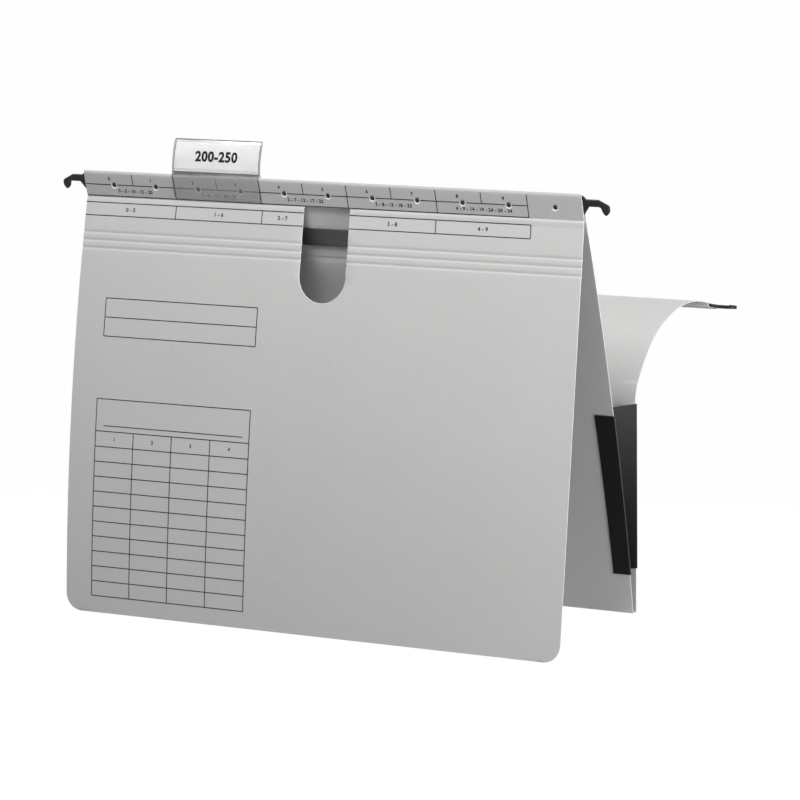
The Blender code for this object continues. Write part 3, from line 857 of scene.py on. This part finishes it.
# Curl of the pocket card behind: places in y and z, and headings in degrees from up towards the back
CURL_KNOTS = (((0.0859, -0.0883), 45), ((0.1166, -0.0713), 72))
CURL_REACH = 0.36
CURL_STEPS = 60
SEAM_ROW = 0.00025
HEADER_OPEN_SHARES = (0.2, 0.4, 0.6)
HEADER_PRESS = (0.72, 0.9)
HEADER_PRESS_STEPS = 7
HEADER_GAP = 0.00005


def heading(degrees):
    """Straight up, swung backwards by an angle."""
    return Vector((0, math.sin(math.radians(degrees)), math.cos(math.radians(degrees))))


class Curl:
    """Middle line of the pocket card, from its fold up and round to the rear rail."""

    def __init__(self):
        axis = Vector(MOUNTS["rear_hook_left_bearing"]["axis"])
        bearing = Vector(MOUNTS["rear_hook_left_bearing"]["pos_m"])
        bearing.x = 0
        self.ahead = -axis
        self.under = Vector((0, self.ahead.z, -self.ahead.y))
        ridge = bearing + self.ahead * RIDGE
        start = POCKET.at(0, 0, CARD / 2)
        top = Vector(JOINTS["curl_1"]["pos_m"])
        foot = ridge - self.ahead * HEADER - self.under * LAYER
        knots = [(top, heading(-POCKET_TILT))]
        knots += [(Vector((0, *place)), heading(angle)) for place, angle in CURL_KNOTS]
        knots.append((foot, self.ahead))
        line = [start]
        for (a, leaving), (b, arriving) in zip(knots, knots[1:]):
            reach = (b - a).length * CURL_REACH
            line += interpolate_bezier(a, a + leaving * reach, b - arriving * reach, b, CURL_STEPS)
        self.header = foot + self.ahead * (HEADER - LAYER - CARD / 2)
        line.append(self.header)
        self.points = np.array(line)
        steps = np.linalg.norm(np.diff(self.points, axis=0), axis=1)
        self.along = np.concatenate([[0.0], np.cumsum(steps)])
        self.length = float(self.along[-1])

    def at(self, along):
        """The place at a distance along the line."""
        return Vector([float(np.interp(along, self.along, self.points[:, axis])) for axis in range(3)])

    def nearest(self, place):
        """The distance along the line that comes nearest to a place."""
        gaps = np.linalg.norm(self.points - np.array(place), axis=1)
        return float(self.along[int(gaps.argmin())])

    def header_turn(self):
        """From the top of the strip round the rear rail and back along its other side."""
        centre = self.header + self.under * LAYER
        turn = []
        for step in range(1, FOLD_STEPS + 1):
            angle = math.pi * step / FOLD_STEPS
            down, forward = LAYER * math.cos(angle), LAYER * math.sin(angle)
            turn.append(centre - self.under * down + self.ahead * forward)
        straight = HEADER - LAYER - CARD / 2
        pressed = 2 * LAYER - CARD - HEADER_GAP
        start, end = HEADER_PRESS
        rest = []
        for share in (*HEADER_OPEN_SHARES, *np.linspace(start, end, HEADER_PRESS_STEPS), 1.0):
            shut = pressed * smooth((share - start) / (end - start))
            rest.append(turn[-1] - self.ahead * straight * share - self.under * shut)
        return turn + rest


CURL = Curl()


def across(line):
    """Rows of points across the card's width from its middle line."""
    columns = spread(-HALF_WIDTH, HALF_WIDTH, POCKET_COLUMN_STEP)
    return [[point + Vector((x, 0, 0)) for x in columns] for point in line]


def make_pocket_card():
    """The pocket's rear card in four lengths, each reaching over one of the curl's joints."""
    hinges = [CURL.nearest(JOINTS[f"curl_{number}"]["pos_m"]) for number in range(1, 5)]
    cuts = [(a + b) / 2 for a, b in zip(hinges, hinges[1:])]
    ends = [0.0, *cuts, CURL.length]
    names = ("pocket_card", "pocket_curl_low", "pocket_curl_high", "pocket_header_card")
    stand_for = (
        ("pocket_panel", "pocket_band_1"), ("pocket_band_2",), ("pocket_band_3",), ("pocket_header",))
    for index, name in enumerate(names):
        low, high = ends[index], ends[index + 1]
        fine = [low + SEAM_ROW, high - SEAM_ROW]
        line = [CURL.at(along) for along in merged(spread(low, high, POCKET_ROW_STEP), fine)]
        start, end = CURL.at(max(low, 2 * hinges[0] - high)), CURL.at(min(high, 2 * hinges[-1] - low))
        if index == len(names) - 1:
            line += CURL.header_turn()
        shape, _ = surface(across(line))
        for face in shape.faces:
            face.normal_flip()
        card = piece(name, thicken(shape, CARD, CRUSH, whole=False), (CARD_FACE, PALE_EDGE_HIGHLIGHT))
        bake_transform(card)
        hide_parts(*stand_for[index])


def gusset_edges(side, share):
    """Outer corners of both cards at one height of a gusset, and the inner ends of its flaps."""
    edge = HALF_WIDTH + CLOTH_LIFT + CLOTH / 2
    inner = HALF_WIDTH - GUSSET_FLAP_LOW - (GUSSET_FLAP_TOP - GUSSET_FLAP_LOW) * share
    lift = CARD / 2 + CLOTH_LIFT + CLOTH / 2
    t = BACK_LENGTH - GUSSET_LOW - (GUSSET_TOP - GUSSET_LOW) * share
    up = GUSSET_POCKET_LOW + (GUSSET_TOP - GUSSET_POCKET_LOW) * share
    panel_side = [
        panel_middle(side * x, t, out)
        for x, out in ((inner, lift), ((inner + edge) / 2, lift), (edge, lift), (edge, -lift))
    ]
    pocket_side = [
        POCKET.at(side * x, -up, CARD / 2 + out)
        for x, out in ((edge, lift), (edge, -lift), ((inner + edge) / 2, -lift), (inner, -lift))
    ]
    return panel_side, pocket_side


def cloth_piece(name, rows, linen, rim_linen):
    """A length of linen over rows of points, with its thread coordinates measured along the cloth.

    Its rim, and where it folds round a card's edge, has a finish of its own.
    """
    widths = [0.0]
    for a, b in zip(rows[-1], rows[-1][1:]):
        widths.append(widths[-1] + (b - a).length)
    heights = [0.0]
    for a, b in zip(rows, rows[1:]):
        heights.append(heights[-1] + max((b[0] - a[0]).length, (b[-1] - a[-1]).length))
    shape, _ = surface(rows, cloth=lambda i, j: (widths[j], heights[i]))
    made = piece(name, thicken(shape, CLOTH), (linen, rim_linen), CLOTH_CRISP)
    for face in made.data.polygons:
        if abs(face.normal.x) > SIDEWAYS:
            face.material_index = EDGE_FINISH
    return made


def pleat_points(start, end, inwards):
    """Points across the web at one height, folded inwards as deep as its width of cloth allows."""
    shallow, deep = 0.0, PLEAT_DEEPEST
    while deep - shallow > TINY:
        depth = (shallow + deep) / 2
        points = []
        for step in range(PLEAT_STEPS + 1):
            u = step / PLEAT_STEPS
            fold = 1 - abs(2 * u - 1) ** PLEAT_SHAPE
            points.append(start.lerp(end, u) + inwards * depth * fold)
        width = sum((b - a).length for a, b in zip(points, points[1:]))
        shallow, deep = (depth, deep) if width < PLEAT_CLOTH else (shallow, depth)
    return points


def make_gusset(name, side):
    """Linen strip glued to both cards: a flap on each and a pleated web between them."""
    panel_flap, web, pocket_flap = [], [], []
    for row in range(CLOTH_ROWS + 1):
        share = row / CLOTH_ROWS
        panel_side, pocket_side = gusset_edges(side, share)
        pleat = pleat_points(panel_side[-1], pocket_side[0], Vector((-side, 0, 0)))
        panel_flap.append(panel_side[::side])
        web.append(pleat[::side])
        pocket_flap.append(pocket_side[::side])
    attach(cloth_piece(name + "_panel_flap", panel_flap, LINEN, PALE_WRAP_LINEN), "back")
    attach(cloth_piece(name + "_pocket_flap", pocket_flap, LINEN, LINEN), "pocket")
    pleated = cloth_piece(name + "_pleat", web, WEB_LINEN, WEB_LINEN)
    panel_side, pocket_side = gusset_edges(side, 0.5)
    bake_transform(pleated)
    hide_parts(name)


# Rounding of the CAD pieces' edges
FLAT_WITHIN = 1
CRISP_FROM = 25
RAIL_ROUNDING = 0.0002
HOOK_ROUNDING = 0.0003
HOOK_STEPS = 3
HOOK_TIP_FROM = 0.1685
HOOK_TIP_ROUNDING = 0.0012
OUTLINE_STEPS = 4
PARALLEL = 0.99
THIN_ROUNDING = 0.0001
PAPER_ROUNDING = 0.00008


def crisp_edges(shape):
    """Edges between faces that meet at a clear angle."""
    limit = math.radians(CRISP_FROM)
    return [edge for edge in shape.edges if edge.is_manifold and edge.calc_face_angle() > limit]


def round_edges(shape, edges, radius, steps):
    """Rounds edges of a mesh in a number of steps."""
    bmesh.ops.bevel(
        shape, geom=edges, offset=radius, segments=steps, profile=0.5, affect="EDGES", clamp_overlap=True)


def dressed(node, body, finish, rounding, steps=2, outline=None):
    """A CAD piece with its flat faces joined up and its edges rounded, those of its outline first."""
    shape = bmesh.new()
    shape.from_mesh(frame["nodes"][node].data)
    bmesh.ops.remove_doubles(shape, verts=shape.verts, dist=TINY)
    bmesh.ops.dissolve_limit(
        shape, angle_limit=math.radians(FLAT_WITHIN), verts=shape.verts, edges=shape.edges)
    if outline:
        through, reach, radius = outline
        corners = []
        for edge in crisp_edges(shape):
            start, end = (vert.co for vert in edge.verts)
            if abs(start.x) > reach and abs((end - start).normalized().dot(through)) > PARALLEL:
                corners.append(edge)
        round_edges(shape, corners, radius, OUTLINE_STEPS)
    round_edges(shape, crisp_edges(shape), rounding, steps)
    made = piece(node + "_finished", shape, (finish,))
    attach(made, body)
    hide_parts(node)
    return made


def make_metal_and_hooks():
    """Both rails with their hooks, and the fastener."""
    for end, body, flat in (("front", "back", PANEL.out), ("rear", "pocket_top", CURL.under)):
        dressed(f"{end}_rail", body, RAIL_STEEL, RAIL_ROUNDING)
        for side in ("left", "right"):
            dressed(
                f"{end}_hook_{side}", body, HOOK_PLASTIC, HOOK_ROUNDING, HOOK_STEPS,
                (flat, HOOK_TIP_FROM, HOOK_TIP_ROUNDING))
    dressed("fastener_strip", "back", PRONG_STEEL, THIN_ROUNDING)
    dressed("fastener_bar", "back", LACQUER, THIN_ROUNDING)
    for side in ("left", "right"):
        dressed(f"fastener_slider_{side}", f"slider_{side}", LACQUER, THIN_ROUNDING)


# Index tab: film, label and its number
LABEL_TEXT = "200-250"
LABEL_SIZE = 0.0077
LABEL_BOLD = 0.00034
NECK_LOW = 0.0065
NECK_HIGH = 0.0086
FILM_FOLD = 0.0006
FILM_RIM = 0.0004
IN_LEG, IN_NECK, IN_EDGE = 1, 2, 3
BEFORE_LABEL = 0.01


def make_tab():
    """Holder of clear film, dark at its cut edges and round its neck."""
    film = dressed("index_tab", "tab", CLEAR, THIN_ROUNDING)
    for finish in (LEG_FILM, NECK_FILM, FILM_EDGE):
        film.data.materials.append(finish)
    low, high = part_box("index_tab")
    left, right, fold = low.x + FILM_RIM, high.x - FILM_RIM, high.z - FILM_FOLD
    shape = bmesh.new()
    shape.from_mesh(film.data)
    for x in (left, right):
        cut_across(shape, (x, 0, 0), (1, 0, 0))
    for z in (NECK_LOW, NECK_HIGH, fold):
        cut_across(shape, (0, 0, z), (0, 0, 1))
    shape.to_mesh(film.data)
    shape.free()
    for face in film.data.polygons:
        if not left < face.center.x < right or face.center.z > fold:
            face.material_index = IN_EDGE
        elif face.center.z < NECK_LOW:
            face.material_index = IN_LEG
        elif face.center.z < NECK_HIGH:
            face.material_index = IN_NECK


def make_label():
    """White label with its number."""
    label = dressed("tab_label", "label", PAPER, PAPER_ROUNDING, 1)
    low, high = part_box("tab_label")
    solid = BVHTree.FromObject(label, bpy.context.evaluated_depsgraph_get())
    ahead = Vector((0, 1, 0))

    def label_face(x, z, lift):
        place = solid.ray_cast(Vector((x, low.y - BEFORE_LABEL, z)), ahead)[0]
        return place - ahead * lift

    shape = bmesh.new()
    x, z = (low.x + high.x) / 2, (low.z + high.z) / 2
    add_number(shape, label_face, LABEL_TEXT, LABEL_SIZE, x, z, 1, LABEL_BOLD)
    number = piece("label_number", shape, (BOLD_INK,))
    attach(number, "label")


# Studio
FLOOR_BELOW = 0.16
FLOOR_HALF = 30.0
FLOOR_SHARE = 0.93
FLOOR_GREY = (0.5, 0.5, 0.5, 1.0)
FLOOR_GLOW = 1.06
WHITE = (1.0, 1.0, 1.0, 1.0)
WORLD_LEVEL = 0.15
LAMP_TARGET = (0.0, 0.0, -0.10)
LAMPS = {
    "front_lamp": ((-0.067, -0.633, 0.536), 0.5, 1.45),
    "top_lamp": ((0.028, -0.399, 0.593), 0.4, 4.6),
    "side_lamp": ((0.588, -0.083, -0.016), 0.3, 2.4),
    "rear_lamp": ((-0.311, 1.084, 0.310), 0.8, 6.5),
}


def seen_directly(wire):
    """1 for rays from the camera, and for what metal and clear film show of the room."""
    rays = wire.node("LightPath").socket.node.outputs
    camera, glossy, clear = (
        Wire(wire.tree, rays[f"Is {kind} Ray"]) for kind in ("Camera", "Glossy", "Transmission"))
    return (camera + glossy + clear).clamp()


def make_floor():
    """Plain pale floor below the hanging file."""
    mesh = bpy.data.meshes.new("studio_floor")
    z = cad_low.z - FLOOR_BELOW
    signs = ((-1, -1), (1, -1), (1, 1), (-1, 1))
    mesh.from_pydata([(x * FLOOR_HALF, y * FLOOR_HALF, z) for x, y in signs], [], [(0, 1, 2, 3)])
    floor = placed("studio_floor", mesh)
    material = bpy.data.materials.new("pale_floor")
    material.use_nodes = True
    tree = material.node_tree
    tree.nodes.remove(tree.nodes["Principled BSDF"])
    wire = Wire(tree)
    matte = wire.node("BsdfDiffuse", inputs={"Color": FLOOR_GREY})
    white = wire.node("Emission", inputs={"Color": WHITE, "Strength": FLOOR_GLOW})
    share = seen_directly(wire) * FLOOR_SHARE
    mixed = wire.node("MixShader", inputs={0: share, 1: matte, 2: white})
    tree.links.new(mixed.socket, tree.nodes["Material Output"].inputs["Surface"])
    mesh.materials.append(material)


def make_world():
    """White surroundings that give only a little light."""
    world = bpy.data.worlds.new("studio")
    world.use_nodes = True
    bpy.context.scene.world = world
    tree = world.node_tree
    wire = Wire(tree)
    level = seen_directly(wire) * (1 - WORLD_LEVEL) + WORLD_LEVEL
    wire.feed(tree.nodes["Background"].inputs["Strength"], level)
    tree.nodes["Background"].inputs["Color"].default_value = WHITE


def make_lamp(name, place, size, power):
    """A square lamp that shines on the file."""
    lamp = bpy.data.lights.new(name, "AREA")
    lamp.shape = "SQUARE"
    lamp.size = size
    lamp.energy = power
    holder = placed(name, lamp)
    holder.location = place
    holder.rotation_euler = (Vector(LAMP_TARGET) - Vector(place)).to_track_quat("-Z", "Y").to_euler()


def make_camera():
    """The photograph's view."""
    lens = bpy.data.cameras.new("camera")
    lens.lens = CAMERA_LENS
    lens.clip_end = 100.0
    camera = placed("camera", lens)
    camera.location = CAMERA_PLACE
    camera.rotation_euler = (
        math.radians(90 - CAMERA_ELEVATION), 0, math.radians(CAMERA_AZIMUTH))
    bpy.context.scene.camera = camera


make_camera()
make_cover()
make_cover_printing()
make_back_card()
make_scale_printing()
make_pocket_card()
make_gusset("gusset_left", -1)
make_gusset("gusset_right", 1)
make_metal_and_hooks()
make_tab()
make_label()
make_floor()
make_world()
for lamp_name, (lamp_place, lamp_size, lamp_power) in LAMPS.items():
    make_lamp(lamp_name, lamp_place, lamp_size, lamp_power)
bpy.context.scene.view_settings.view_transform = "Standard"
